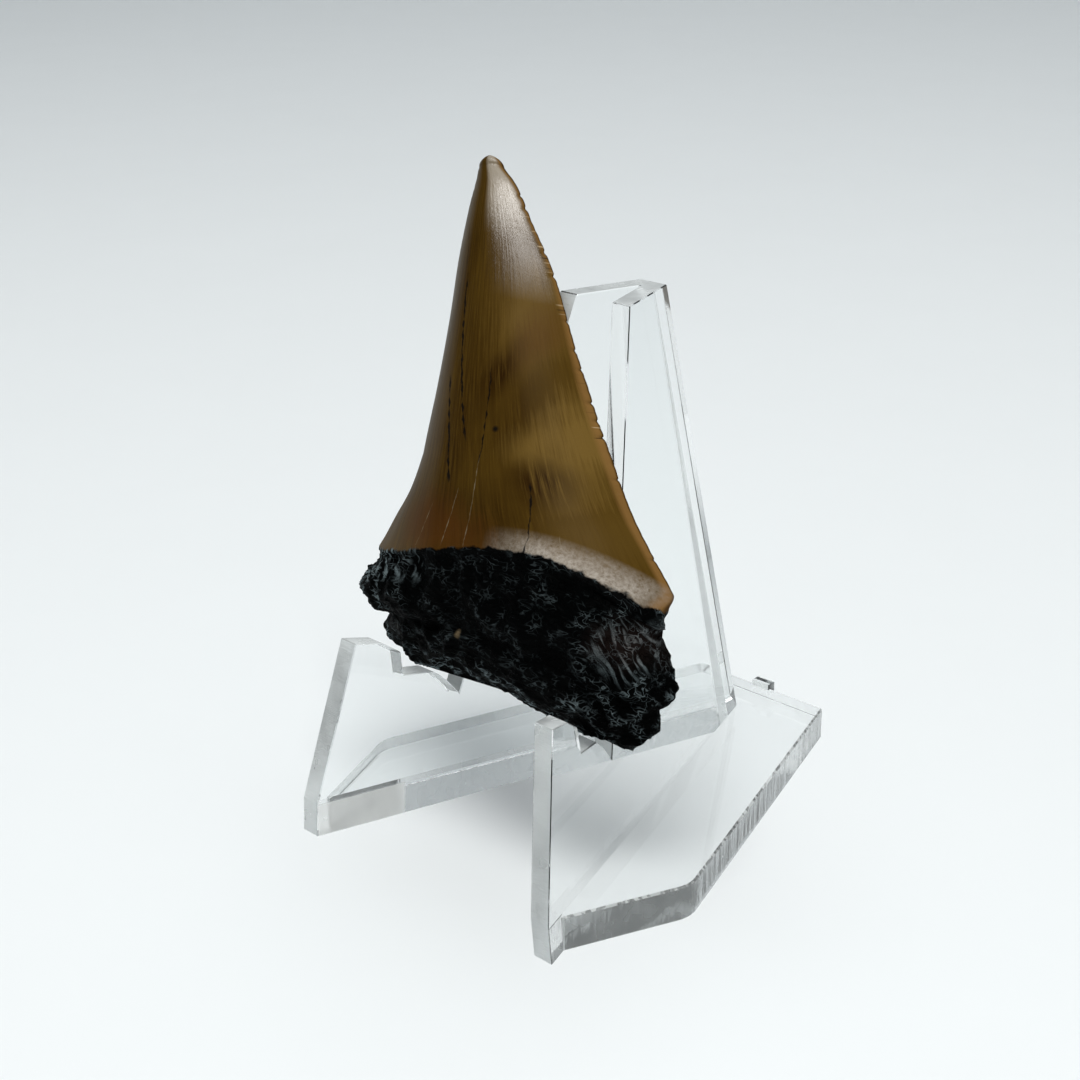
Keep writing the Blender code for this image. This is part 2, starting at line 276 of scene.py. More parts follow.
class StageSettings(bpy.types.PropertyGroup):
    azimuth: bpy.props.FloatProperty(
        name="Azimuth", description="Camera's angle round the object", subtype="ANGLE",
        default=math.radians(44.1))
    elevation: bpy.props.FloatProperty(
        name="Elevation", description="Camera's angle above the floor", subtype="ANGLE",
        default=math.radians(21.9))
    roll: bpy.props.FloatProperty(
        name="Roll", description="Camera's tilt", subtype="ANGLE", default=math.radians(-0.79))
    distance: bpy.props.FloatProperty(
        name="Distance", description="From the camera to its target", unit="LENGTH", default=0.24)
    lens: bpy.props.FloatProperty(
        name="Lens", description="Focal length in millimetres on a 36 mm sensor", default=61.33)
    floor: bpy.props.FloatVectorProperty(
        name="Floor", description="The pale table", subtype="COLOR", default=(0.80, 0.83, 0.84))
    sky: bpy.props.FloatVectorProperty(
        name="Surroundings", description="The room's soft light", subtype="COLOR",
        default=(0.86, 0.93, 0.97))
    sky_strength: bpy.props.FloatProperty(
        name="Surroundings' Strength", description="How bright the room is", default=0.10, min=0.0)
    window_power: bpy.props.FloatProperty(
        name="Window", description="Power of the light from the front right", unit="POWER", default=4.9)
    window_colour: bpy.props.FloatVectorProperty(
        name="Window Colour", description="Colour of the light from the front right", subtype="COLOR",
        default=(1.0, 0.985, 0.96))
    overhead_power: bpy.props.FloatProperty(
        name="Overhead", description="Power of the soft light above", unit="POWER", default=19.1)
    overhead_colour: bpy.props.FloatVectorProperty(
        name="Overhead Colour", description="Colour of the soft light above", subtype="COLOR",
        default=(0.96, 0.985, 1.0))


# Shader graphs: values add Math nodes by plain arithmetic, and every other node comes from add.


def plug(tree, item, socket):
    """Links a value or a socket, or writes a constant."""
    if isinstance(item, Value):
        tree.links.new(item.socket, socket)
    elif isinstance(item, bpy.types.NodeSocket):
        tree.links.new(item, socket)
    else:
        socket.default_value = item


class Value:
    """A shader socket on which arithmetic adds Math nodes."""

    def __init__(self, tree, socket):
        self.tree = tree
        self.socket = socket

    def maths(self, operation, *items, clamp=False):
        """A Math node on these values."""
        node = self.tree.nodes.new("ShaderNodeMath")
        node.operation = operation
        node.use_clamp = clamp
        for item, socket in zip(items, node.inputs):
            plug(self.tree, item, socket)
        return Value(self.tree, node.outputs[0])

    def __add__(self, other):
        return self.maths("ADD", self, other)

    def __sub__(self, other):
        return self.maths("SUBTRACT", self, other)

    def __mul__(self, other):
        return self.maths("MULTIPLY", self, other)

    def __truediv__(self, other):
        return self.maths("DIVIDE", self, other)

    def __pow__(self, other):
        return self.maths("POWER", self, other)

    def __abs__(self):
        return self.maths("ABSOLUTE", self)

    __radd__ = __add__
    __rmul__ = __mul__

    def __rsub__(self, other):
        return self.maths("SUBTRACT", other, self)

    def __rtruediv__(self, other):
        return self.maths("DIVIDE", other, self)

    def above(self, edge, soft):
        """0 under the edge, 1 over it, with a soft step between."""
        return self.maths("ADD", (self - edge) / soft, 0.5, clamp=True)

    def below(self, edge, soft):
        """1 under the edge, 0 over it, with a soft step between."""
        return self.maths("ADD", (edge - self) / soft, 0.5, clamp=True)

    def most(self, other):
        """The larger of the two."""
        return self.maths("MAXIMUM", self, other)

    def held(self):
        """Kept between 0 and 1."""
        return self.maths("ADD", self, 0.0, clamp=True)


class Finish:
    """One material and the nodes that make it."""

    def __init__(self, name):
        self.material = bpy.data.materials.new(name)
        self.material.use_nodes = True
        self.tree = self.material.node_tree
        self.shader = self.tree.nodes["Principled BSDF"]

    def add(self, kind, settings=None, sockets=None, output=0):
        """Any node: its settings first, then its sockets, and one of its outputs back."""
        node = self.tree.nodes.new(kind)
        for name, setting in (settings or {}).items():
            setattr(node, name, setting)
        for name, item in (sockets or {}).items():
            plug(self.tree, item, node.inputs[name])
        return Value(self.tree, node.outputs[output])

    def mix(self, factor, first, second):
        """The first colour where the factor is 0, and the second where it is 1."""
        sockets = {0: factor, 6: self.colour(first), 7: self.colour(second)}
        return self.add("ShaderNodeMix", {"data_type": "RGBA"}, sockets, output=2)

    @staticmethod
    def colour(item):
        """A colour as a socket takes it."""
        return item if isinstance(item, Value) else (*item, 1.0)

    def attribute(self, name):
        """A field stored on the mesh."""
        return self.add("ShaderNodeAttribute", {"attribute_name": name}, output=2)

    def along(self, vector, scale):
        """A vector stretched by three factors."""
        return self.add("ShaderNodeVectorMath", {"operation": "MULTIPLY"}, {0: vector, 1: scale})

    def noise(self, vector, scale, detail=3.0, rough=0.55, distortion=0.0):
        """Noise from 0 to 1 at this place."""
        sockets = {"Vector": vector, "Scale": scale, "Detail": detail, "Roughness": rough,
                   "Distortion": distortion}
        return self.add("ShaderNodeTexNoise", None, sockets)

    def bump(self, height, depth):
        """The normal of a surface raised by this height, 0 to 1, times the depth."""
        return self.add("ShaderNodeBump", None, {"Height": height, "Strength": 1.0, "Distance": depth})

    def blend(self, factor, other):
        """Lays another shader over the material's own, by this factor."""
        mixed = self.add("ShaderNodeMixShader", None, {0: factor, 1: self.shader.outputs[0], 2: other})
        self.tree.links.new(mixed.socket, self.tree.nodes["Material Output"].inputs["Surface"])

    def set(self, **sockets):
        """Sets the main shader's sockets, by their names with underlines for spaces."""
        for name, item in sockets.items():
            plug(self.tree, item, self.shader.inputs[name.replace("_", " ")])


# The tooth's form.


def read_stations(positions):
    """The stations along a smooth curve, at these positions."""
    tangents = np.gradient(STATIONS, axis=0)
    first = np.minimum(positions.astype(int), len(STATIONS) - 2)
    t = (positions - first)[:, None]
    a, b = STATIONS[first], STATIONS[first + 1]
    rise = (2 * t**3 - 3 * t**2 + 1) * a + (3 * t**2 - 2 * t**3) * b
    return rise + (t**3 - 2 * t**2 + t) * tangents[first] + (t**3 - t**2) * tangents[first + 1]


def ring_positions(count):
    """Station positions spaced evenly along the right edge, so that its saw teeth are all as fine."""
    fine = np.linspace(0, len(STATIONS) - 1, 2000)
    edge = read_stations(fine)[:, 2:4]
    length = np.concatenate([[0], np.cumsum(np.linalg.norm(np.diff(edge, axis=0), axis=1))])
    return np.interp(np.linspace(0, length[-1], count), length, fine)


def smooth_step(values, low, high):
    """0 up to the low value, 1 from the high one, and a smooth climb between."""
    t = np.clip((values - low) / (high - low), 0, 1)
    return t * t * (3 - 2 * t)


def tooth_grid(rings, side_points):
    """The plain form: arrays of x, v and n, with u across and the side, ring by ring."""
    positions = ring_positions(rings)
    rows = read_stations(positions)
    left_x, left_v, right_x, right_v, bow, thickness, back = (rows[:, i:i + 1] for i in range(7))
    step = np.arange(side_points) * math.pi / side_points
    u = np.concatenate([-np.cos(step), np.cos(step)])[None, :]
    climb = (positions - ENAMEL_STATION + 0.5)[:, None]
    sharp_right, sharp_left = (np.clip(climb / stretch, 0, 1) for stretch in SHARPENING)
    sharp = sharp_right + (sharp_left - sharp_right) * smooth_step(-u, 0.0, 0.6)
    edge_n = back + np.minimum(0.8 + 2.8 * (1 - sharp), 0.45 * thickness)
    front = (np.arange(2 * side_points) < side_points)[None, :]
    x = (left_x + right_x) / 2 + (right_x - left_x) / 2 * u
    lift = bow * (1 - u * u) * (1 + BOW_SKEW * u) * np.where(front, 1, BACK_BOW)
    for middle, width, rise in LOWER_SWELLS:
        bulge = rise * np.exp(-((u - middle) / width) ** 2)
        lift = lift + bulge * smooth_step(-positions, -2.5, 0)[:, None]
    v = (left_v + right_v) / 2 + (right_v - left_v) / 2 * u + lift
    tented = smooth_step(v, *FLATTENING) * smooth_step(u, -0.1, 0.1)
    power = 3.0 - 0.8 * sharp - 0.85 * tented
    swell = (1 - np.abs(u) ** power) ** (0.5 + 0.4 * sharp + 0.1 * tented)
    hollow = (1 - np.abs(u) ** (6 - 2 * sharp)) ** 0.5
    n = np.where(front, edge_n + (thickness - edge_n) * swell, edge_n + (back - edge_n) * hollow)
    half = np.broadcast_to((right_x - left_x) / 2, n.shape)
    return positions, np.broadcast_to(u, n.shape), x, v, n, half


def form_normals(grid):
    """Unit normals of a closed grid of points, out of the tooth."""
    across = np.roll(grid, -1, axis=1) - np.roll(grid, 1, axis=1)
    up = np.gradient(grid, axis=0)
    normals = np.cross(across, up)
    length = np.linalg.norm(normals, axis=2, keepdims=True)
    return normals / np.maximum(length, 1e-9)


def noise_field(points, size, offset):
    """Noise read at each point of a grid."""
    flat = points.reshape(-1, 3) / size + np.array(offset)
    values = [noise.noise(Vector(p)) for p in flat]
    return np.array(values).reshape(points.shape[:2])


def crease_height(x):
    """The height of the root's crease at x."""
    start_x, start_v = CREASE_START
    knee_x, knee_v = CREASE_KNEE
    climb = start_v + (knee_v - start_v) * (x - start_x) / (knee_x - start_x)
    return np.where(x < knee_x, climb, knee_v - CREASE_SINK * (x - knee_x) ** 2)


def root_weather(grid, rough, settings):
    """How deep the root's surface lies under its plain form: broad furrows, a crease and fine wrinkles."""
    broad = np.abs(noise_field(grid, *FURROWS)) * 2
    flow = grid * np.array((0.55, 1.3, 1.0)) + grid[..., [1, 0, 2]] * np.array((0.25, 0.0, 0.0))
    worm = np.abs(noise_field(flow, *WRINKLES)) * 2.6
    wrinkle = np.clip(1 - worm, 0, 1) ** 2
    fine = np.abs(noise_field(flow, *FINE_WRINKLES)) * 1.6
    x, v = grid[..., 0], grid[..., 1]
    deepening = 0.45 + 0.55 * smooth_step(-x, 0, 8) + 0.7 * smooth_step(-x, 14, 19)
    crease = np.exp(-((v - crease_height(x)) / CREASE_WIDTH) ** 2) * deepening
    depth = settings.relief / MM * broad + settings.wrinkle / MM * (1 - wrinkle + 0.2 * fine)
    return (depth + crease) * rough


def edge_wear(positions, u, v, half, settings):
    """How far the cutting edges are cut back: worn saw teeth with a few deeper nicks."""
    reach = (1 - np.abs(u)) * half
    crown = smooth_step(positions, ENAMEL_STATION + 0.6, ENAMEL_STATION + 1.4)[:, None]
    on_edge = np.exp(-(reach / WEAR_REACH) ** 2) * crown * smooth_step(half, 1.5, 3.5)
    pitch = settings.serration_pitch / MM
    left, right = (np.array([[noise.noise(Vector((height * 0.55, key, 0.4)))] for height in v[:, column]])
                   for key, column in ((3.0, 0), (17.0, v.shape[1] // 2)))
    beat = np.where(u > 0, right, left)
    teeth = np.abs(np.sin(math.pi * (v / pitch + 0.6 * beat)))
    saw = settings.serration / MM * (1 - teeth) * (0.5 + 1.2 * np.clip(beat + 0.3, 0, 1))
    chips = np.zeros_like(v)
    for place, key, width in NICKS:
        chips += np.where(u * key > 0, np.exp(-((v - place) / width) ** 2), 0)
    return (saw + settings.nick / MM * np.clip(chips, 0, 1)) * on_edge


def round_base(v, n):
    """Thins the lowest stretch, so that the root's underside is rounded."""
    climb = np.clip((v - v[0][None, :]) / 1.4, 0, 1)
    middle = (n.max(axis=1, keepdims=True) + n.min(axis=1, keepdims=True)) / 2
    return middle + (n - middle) * (0.82 + 0.18 * np.sqrt(1 - (1 - climb) ** 2))


def round_tip(grid):
    """Adds rings that close the tip in a dome."""
    last = grid[-1]
    centre = last.mean(axis=0)
    rings = []
    for step in range(1, TIP_STEPS):
        climb = math.sin(step / TIP_STEPS * math.pi / 2)
        middle = centre + (np.array(TIP) - centre) * climb
        rings.append(middle + (last - centre) * (1 - climb * climb) ** TIP_POWER)
    return np.concatenate([grid, np.array(rings)])


def to_world(grid):
    """From the leaning plane's millimetres to metres in the object's frame."""
    x, v, n = grid[..., 0], grid[..., 1], grid[..., 2] + REST_GAP
    cos, sin = math.cos(TOOTH_LEAN), math.sin(TOOTH_LEAN)
    foot_y = STAND_BOX[0].y / MM + FOOT_BEHIND_FRONT
    y = foot_y + v * sin - n * cos
    z = STAND_BOX[0].z / MM + FOOT_HEIGHT + v * cos + n * sin
    return np.stack([x, y, z], axis=-1) * MM


def grid_faces(rings, around):
    """Quads between the rings, then a fan at each end; the end points come after the rings."""
    low = np.arange((rings - 1) * around).reshape(rings - 1, around)
    next_low = np.roll(low, -1, axis=1)
    quads = np.stack([low, next_low, next_low + around, low + around], axis=-1)
    faces = [tuple(quad) for quad in quads.reshape(-1, 4).tolist()]
    base, tip = rings * around, rings * around + 1
    top = (rings - 1) * around
    for i in range(around):
        j = (i + 1) % around
        faces.append((j, i, base))
        faces.append((top + i, top + j, tip))
    return faces


def new_mesh_object(name, points, faces):
    """A smooth mesh in the scene."""
    mesh = bpy.data.meshes.new(name)
    mesh.from_pydata(points.tolist(), [], faces)
    mesh.validate()
    mesh.shade_smooth()
    obj = bpy.data.objects.new(name, mesh)
    bpy.context.scene.collection.objects.link(obj)
    return obj


def store(mesh, name, values):
    """Keeps a number for each point of the mesh, for the shader to read."""
    layer = mesh.attributes.new(name, "FLOAT", "POINT")
    layer.data.foreach_set("value", np.asarray(values, np.float32))


def build_tooth(settings):
    """The tooth's mesh, with the fields that its finish reads."""
    positions, u, x, v, n, half = tooth_grid(settings.rings, settings.side_points)
    n = round_base(v, n)
    plain = np.stack([x, v, n], axis=-1)
    normals = form_normals(plain)
    rough = smooth_step(-positions, -ENAMEL_STATION + 0.1, -ENAMEL_STATION + 1.0)[:, None]
    depth = root_weather(plain, rough, settings)
    swell = CROWN_SWELL_DEPTH * noise_field(plain * np.array((1.0, 0.35, 1.0)), *CROWN_SWELLS)
    depth = depth + (CROWN_SWELL_DEPTH + swell) * (1 - rough) * smooth_step(half, 1.0, 4.0)
    grid = plain - normals * depth[..., None]
    wear = edge_wear(positions, u, v, half, settings)
    grid[..., 0] -= np.sign(u) * wear
    grid = round_tip(grid)
    extra = len(grid) - len(u)
    u, v, x, depth, half = (np.concatenate([rows, np.repeat(rows[-1:], extra, axis=0)])
                            for rows in (u, v, x, depth, half))
    positions = np.concatenate([positions, np.repeat(positions[-1:], extra)])
    ring_count, around = grid.shape[:2]
    base = grid[0].mean(axis=0)
    flat = np.concatenate([grid.reshape(-1, 3), [base, TIP]])
    tooth = new_mesh_object("fossil_tooth", to_world(flat), grid_faces(ring_count, around))
    line_ring = np.argmin(np.abs(positions - ENAMEL_STATION))
    above_line = v - v[line_ring][None, :]
    ends = {"across": (0, 0), "rise": (base[1], TIP[1]), "above_line": (base[1] - 20, TIP[1] - 20),
            "edge_reach": (9, 0), "side_x": (base[0], TIP[0]), "pit": (0.5, 0)}
    fields = {"across": u, "rise": v, "above_line": above_line, "edge_reach": (1 - np.abs(u)) * half,
              "side_x": x, "pit": depth}
    for name, field in fields.items():
        store(tooth.data, name, np.concatenate([np.broadcast_to(field, u.shape).ravel(), ends[name]]))
    return tooth


# Finishes.


class ToothFields:
    """Where a point lies on the tooth, as shader values."""

    def __init__(self, finish):
        self.u = finish.attribute("across")
        self.v = finish.attribute("rise")
        self.x = finish.attribute("side_x")
        self.above_line = finish.attribute("above_line")
        self.reach = finish.attribute("edge_reach")
        self.pit = finish.attribute("pit")
        self.place = finish.add("ShaderNodeTexCoord", output=3)
        self.broad = finish.noise(self.place, 170.0, 2.0, 0.55)


def cloud(on, spot, warp):
    """A soft patch round a place on the front."""
    centre_x, centre_v, half_width, half_height, strength = spot
    across, up = (on.x - centre_x) / half_width, (on.v - centre_v) / half_height
    distance = (across * across + up * up) ** 0.5
    return (distance + warp).below(0.85, 0.9) * strength


def crack(on, path, wander, swelling):
    """A thin line on the front, between two points, that wanders and swells."""
    top_x, top_v, bottom_x, bottom_v, bend, width = path
    along = (on.v - bottom_v) / (top_v - bottom_v)
    middle = bottom_x + along * (top_x - bottom_x) + along * (1.0 - along) * (4 * bend)
    line = (swelling * width - abs(on.x - middle - wander)).above(0.06, 0.12)
    return line * along.above(0.03, 0.06) * along.below(0.96, 0.08)


def strongest(values):
    """The largest of the values at each point, kept between 0 and 1."""
    top = values[0]
    for value in values[1:]:
        top = top.most(value)
    return top.held()


def enamel_grain(finish, on):
    """Fine fibres and broader streaks, which fan out with the crown."""
    fan = finish.add("ShaderNodeCombineXYZ", None, {"X": on.u * 9.0, "Y": on.v * 0.028})
    fibres = finish.noise(fan, 5.2, 4.0, 0.72)
    streaks = finish.noise(finish.along(fan, (0.5, 0.8, 1.0)), 4.0, 2.0, 0.6)
    return fibres, streaks


def enamel_marks(finish, on, speckle):
    """Masks for the parts of the enamel and the marks on it."""
    height = finish.add("ShaderNodeCombineXYZ", None, {"X": on.v})
    wander = (finish.noise(height, 0.35, 3.0, 0.65) - 0.5) * 0.9
    swelling = finish.noise(height, 0.8, 2.0, 0.6).above(0.52, 0.3) * 1.1 + 0.35
    beat = finish.noise(height, 1.9, 1.0, 0.5)
    right_side = on.u.above(0.0, 0.2)
    chipped = right_side * on.v.above(CHIPPED_FROM, 6.0)
    ticks = beat.below(0.34, 0.03) * on.reach.below(0.8, 0.4) * chipped * 0.8
    # The band along the root: speckled wear, with a painted highlight in its colour.
    band_start, band_end, band_high = WORN_AND_HIGHLIGHT_BAND
    worn = on.above_line.below(band_high, 1.9) * on.x.above(band_start, 7.0) * on.x.below(band_end, 2.0)
    return {
        "fibrous": on.u.below(0.2, 0.7) * 0.65 + 0.15,
        "left": on.u.below(-0.55, 0.5),
        "upper": on.v.above(POLISHED_FROM, 12.0),
        "facet": on.u.above(0.06, 0.22) * on.v.above(FACET_FROM, 13.0) * on.reach.above(0.7, 0.7),
        # Where the painted highlight near the tip lies.
        "tip": on.u.above(0.05, 0.2) * on.v.above(TIP_FROM, 5.0) * on.reach.above(0.5, 0.5),
        "edge": on.reach.below(0.85 - on.v.above(44.0, 8.0) * 0.45, 0.6) * right_side,
        "rim": on.reach.below(0.12, 0.16),
        "worn": (worn * (speckle * 2.2 - 0.35)).held(),
        "pale": strongest([crack(on, path, wander * 0.6, swelling) for path in PALE_CRACKS]),
        # Where the painted glints on the right edge lie.
        "glint": beat.above(0.66, 0.05) * on.reach.below(0.7, 0.4) * chipped,
        "dark": strongest([*(crack(on, path, wander, swelling) for path in DARK_CRACKS),
                           cloud(on, CRACK_SPOT, 0.0), ticks]),
    }


def enamel_colour(finish, settings, on, marks, fibres, streaks):
    """Amber enamel with patches, a painted sheen on the left side, a painted highlight near the tip, a pale
    band that is worn and painted with a highlight, golden edges, painted glints and cracks.
    """
    colour = finish.mix(fibres.above(0.55, 0.32) * marks["fibrous"], settings.amber, settings.umber)
    colour = finish.mix(streaks.above(0.6, 0.3) * marks["fibrous"] * 0.5, colour, settings.umber)
    warp = (on.broad - 0.5) * 1.3 + (fibres - 0.5) * 1.8
    threads = fibres.above(0.46, 0.2) * 0.7 + 0.3
    layers = [(cloud(on, spot, warp), settings.tan) for spot in TAN_CLOUDS]
    layers += [(cloud(on, spot, warp), settings.russet) for spot in RED_CLOUDS]
    layers += [(cloud(on, spot, warp) * threads, settings.umber) for spot in DARK_CLOUDS]
    layers += [
        # Painted sheen on the left side, stronger higher up.
        (marks["left"] * (0.4 + marks["upper"] * 0.35), settings.painted_sheen),
        # Painted highlight near the tip.
        (marks["tip"] * 0.5, settings.tip),
        (marks["edge"] * 0.75, settings.gold),
        (marks["rim"] * 0.8, settings.umber),
        # The worn band, partly a painted highlight.
        (marks["worn"] * 0.9, settings.worn),
        (marks["pale"] * 0.6, settings.pale_crack),
        # Painted glints on the right edge.
        (marks["glint"] * 0.7, settings.glint),
        (marks["dark"] * 0.95, settings.dark_crack),
    ]
    for factor, layer in layers:
        colour = finish.mix(factor, colour, layer)
    return colour


def bone_relief(finish, on):
    """The mask of the root's ridges that carry painted glints, and the height of its fine relief."""
    flow = finish.along(on.place, (0.42, 1.0, 1.0))
    worm = finish.noise(flow, 980.0, 1.0, 0.5, 0.9)
    finer = finish.noise(flow, 1500.0, 0.0, 0.5, 0.7)
    crest = abs(worm - 0.5).below(0.026, 0.026)
    thread = abs(finer - 0.5).below(0.03, 0.03)
    slanted = finish.add("ShaderNodeCombineXYZ", None, {
        "X": on.x * 1.5 + on.v * 1.2, "Y": (on.v - on.x) * 0.14})
    upright = finish.add("ShaderNodeCombineXYZ", None, {"X": on.x * 1.5, "Y": on.v * 0.3})
    furrows = finish.noise(slanted, 1.0, 2.0, 0.5)
    ribs = finish.noise(upright, 1.0, 2.0, 0.6)
    right_end = cloud(on, RIGHT_FURROWS, (on.broad - 0.5) * 0.8)
    left_end = on.above_line.above(-3.2, 1.6) * on.x.below(-11.0, 6.0)
    patches = finish.noise(on.place, 480.0, 1.0, 0.5).above(0.54, 0.18)
    # Where the painted glints gather: at the left end, along the lower edge and at the right end, and thinly
    # elsewhere.
    glint_spread = strongest([on.x.below(-14.0, 9.0), on.v.below(8.5, 5.0) * 0.9,
                        on.x.above(15.0, 8.0) * 0.6]).most(0.18)
    squiggles = (crest + thread * 0.7) * patches * glint_spread * on.pit.below(1.1, 1.2)
    ridges = strongest([squiggles, furrows.above(0.56, 0.1) * right_end,
                        ribs.above(0.58, 0.1) * left_end * 0.8])
    fine = crest * 0.9 + thread * 0.5 + worm * 1.2
    return ridges, fine + furrows * right_end * 3.0 + ribs * left_end * 2.0


def bone_colour(finish, settings, on, ridges):
    """Black bone with painted blue-grey glints on its ridges, a rust tint at the right end and one tan
    speck.
    """
    bone = finish.mix(ridges, settings.bone, settings.ridge_glint)
    warp = (on.broad - 0.5) * 1.2
    bone = finish.mix(cloud(on, RUST_PATCH, warp) * (ridges + 0.15), bone, settings.rust)
    return finish.mix(cloud(on, TAN_SPECK, warp * 0.4), bone, settings.speck)


def fossil_finish(settings):
    """Glossy fibrous enamel over a black wrinkled root, parted along the enamel line."""
    finish = Finish("fossil_enamel_and_bone")
    on = ToothFields(finish)
    fibres, streaks = enamel_grain(finish, on)
    speckle = finish.noise(on.place, 1700.0, 3.0, 0.75)
    marks = enamel_marks(finish, on, speckle)
    enamel = enamel_colour(finish, settings, on, marks, fibres, streaks)
    ridges, root_height = bone_relief(finish, on)
    bone = bone_colour(finish, settings, on, ridges)

    ragged = (finish.noise(on.place, 750.0, 2.0) - 0.5) * 0.9
    is_root = (on.above_line + ragged).below(0.0, 0.22)
    crown = 1.0 - is_root
    colour = finish.mix(is_root, enamel, bone)

    comb = finish.add("ShaderNodeCombineXYZ", None, {"X": on.x * 0.6, "Y": on.v * 2.4 + on.x * 0.9})
    combed = finish.noise(comb, 1.0, 2.0, 0.65) * marks["facet"]
    crown_height = fibres * 0.14 + streaks * 0.12 + combed * 0.22 + marks["worn"] * speckle * 0.5
    normal = finish.bump(crown_height * crown + root_height * is_root, TOOTH_BUMP)
    finish.set(Base_Color=colour, Roughness=0.6, Normal=normal, Specular_IOR_Level=0.02)

    foot_polish = on.above_line.below(0.9, 1.4) * on.x.above(3.0, 8.0) * 0.3
    side_polish = marks["left"] * (0.04 + marks["upper"] * 0.24)
    polish = marks["facet"] * 0.95 + foot_polish + side_polish
    gloss = 0.26 - marks["facet"] * 0.1 + fibres * 0.06 + marks["worn"] * 0.3 + marks["dark"] * 0.4
    glossy = finish.add("ShaderNodeBsdfPrincipled", None, {
        "Base Color": colour, "Roughness": gloss * crown + is_root * 0.4, "Normal": normal,
        "Specular IOR Level": 1.0})
    finish.blend((crown * (0.01 + polish) + is_root * ridges * 0.05).held(), glossy)
    return finish.material


def plastic_masks(finish, place):
    """The stand's cut edges, outer sides, tops, seats and rims, and the left foot's inner face."""
    inside = finish.add("ShaderNodeNewGeometry", output=6)
    facing = finish.add("ShaderNodeVectorMath", {"operation": "SCALE"}, {
        0: finish.add("ShaderNodeNewGeometry", output=1), 3: 1.0 - inside * 2.0})
    x, y, z = (finish.add("ShaderNodeSeparateXYZ", None, {0: place}, axis) for axis in range(3))
    nx, nz = (finish.add("ShaderNodeSeparateXYZ", None, {0: facing}, axis) for axis in (0, 2))
    forward = finish.add("ShaderNodeVectorMath", {"operation": "DOT_PRODUCT"}, {0: facing, 1: (0, -1, 0)}, 1)
    foot_x, foot_y, foot_z = FOOT_INNER_FACE
    return {
        "front": forward.above(0.88, 0.12) * z.below(FRONT_FROST_TOP, 0.008).most(x.below(0.0, 0.001)),
        "outer": (nx * x).above(0.005, 0.003) * z.below(FLANGE_SIDE_TOP, 0.0001) * abs(nz).below(0.5, 0.3),
        "top": nz.above(0.85, 0.2) * z.above(PLATE_TOP, 0.001),
        "seat": nz.above(0.5, 0.3) * z.above(SEAT_LOW, 0.002) * z.below(SEAT_HIGH, 0.002),
        "rim": nz.above(0.3, 0.1) * nz.below(0.93, 0.1) * z.below(FLANGE_TOP, 0.0001),
        "foot": (nx.above(0.8, 0.1) * x.below(foot_x, 0.002) * y.below(foot_y, 0.0002)
                 * z.below(foot_z, 0.0003)),
    }


def plastic_finish(settings):
    """Clear moulded plastic, frosted where it is cut, with saw marks and faint scratches."""
    finish = Finish("clear_plastic")
    place = finish.add("ShaderNodeTexCoord", output=3)
    on = plastic_masks(finish, place)
    cloudy = finish.noise(place, 260.0, 2.0, 0.6)
    fine = finish.noise(finish.along(place, (1.0, 1.0, 9.0)), 900.0, 2.0, 0.7)
    waves = finish.noise(finish.along(place, (1.0, 1.0, 0.12)), 900.0, 2.0, 0.6)
    scratches = finish.noise(finish.along(place, (9.0, 1.0, 1.0)), 240.0, 2.0, 0.5).above(0.72, 0.03)
    ticks = finish.noise(finish.along(place, (1.0, 1.0, 0.1)), 1500.0, 1.0, 0.5).above(0.5, 0.15)
    cut = strongest([on["front"], on["top"] * 0.8, on["seat"] * 0.7, on["outer"] * 0.45,
                     on["rim"] * (0.45 + ticks * 0.55), on["foot"]])
    roughness = settings.polish + cut * (settings.sawn - settings.polish) * (0.5 + cloudy) + scratches * 0.12
    normal = finish.bump(on["front"] * fine * 0.8 + on["outer"] * waves * 1.6, STAND_BUMP)
    finish.set(Base_Color=(*settings.tint, 1.0), Roughness=roughness, Normal=normal,
               Transmission_Weight=1.0, IOR=settings.ior)
    # On the left foot's inner face the frost takes its paler copy, which is painted light.
    frost = finish.add("ShaderNodeBsdfPrincipled", None, {
        "Base Color": finish.mix(on["foot"], settings.frost, settings.lit_foot_frost), "Roughness": 0.5,
        "Normal": normal})
    finish.blend((cut * (0.35 + cloudy * 0.75)).held() * settings.milk, frost)
    return finish.material


def table_finish(settings):
    """A matt pale table with a very faint mottle."""
    finish = Finish("pale_table")
    place = finish.add("ShaderNodeTexCoord", output=3)
    mottle = finish.noise(place, 30.0, 4.0, 0.6)
    colour = finish.mix(mottle.above(0.5, 1.2), settings.floor, tuple(c * 1.03 for c in settings.floor))
    finish.set(Base_Color=colour, Roughness=0.55)
    return finish.material


# The stage.

# Air between the stand's underside and the table, so that clear plastic and table stay apart.
TABLE_GAP = 0.00015

# The camera's target, from the middle of the stand's foot.
TARGET = Vector((-0.0219, 0.01221, 0.024))

# The window light: its angle to the right of the front, its height as an angle and its distance, and its
# size and aim. Then the overhead light's place, size and aim.
WINDOW_ANGLES = (42, 67.5, 0.85)
WINDOW_SIZE = (0.56, 0.26)
WINDOW_AIM = (0, 0, 0.05)
OVERHEAD_PLACE = (-0.2, 0.2, 1.6)
OVERHEAD_SIZE = (2.2, 2.2)
OVERHEAD_AIM = (0, 0.1, 0.02)

# The table: its ends before and behind the object, the curve behind it, the wall's top and half the width.
TABLE_NEAR = -1.2
TABLE_FAR = 1.1
CURVE_RADIUS = 0.5
CURVE_STEPS = 12
WALL_TOP = 1.8
TABLE_HALF = 2.4


def camera_axes(settings):
    """Unit vectors from the target to the camera, to its right and up, before the roll."""
    azimuth, elevation = settings.azimuth, settings.elevation
    back = Vector((math.sin(azimuth) * math.cos(elevation), -math.cos(azimuth) * math.cos(elevation),
                   math.sin(elevation)))
    right = Vector((math.cos(azimuth), math.sin(azimuth), 0.0))
    return back, right, back.cross(right)


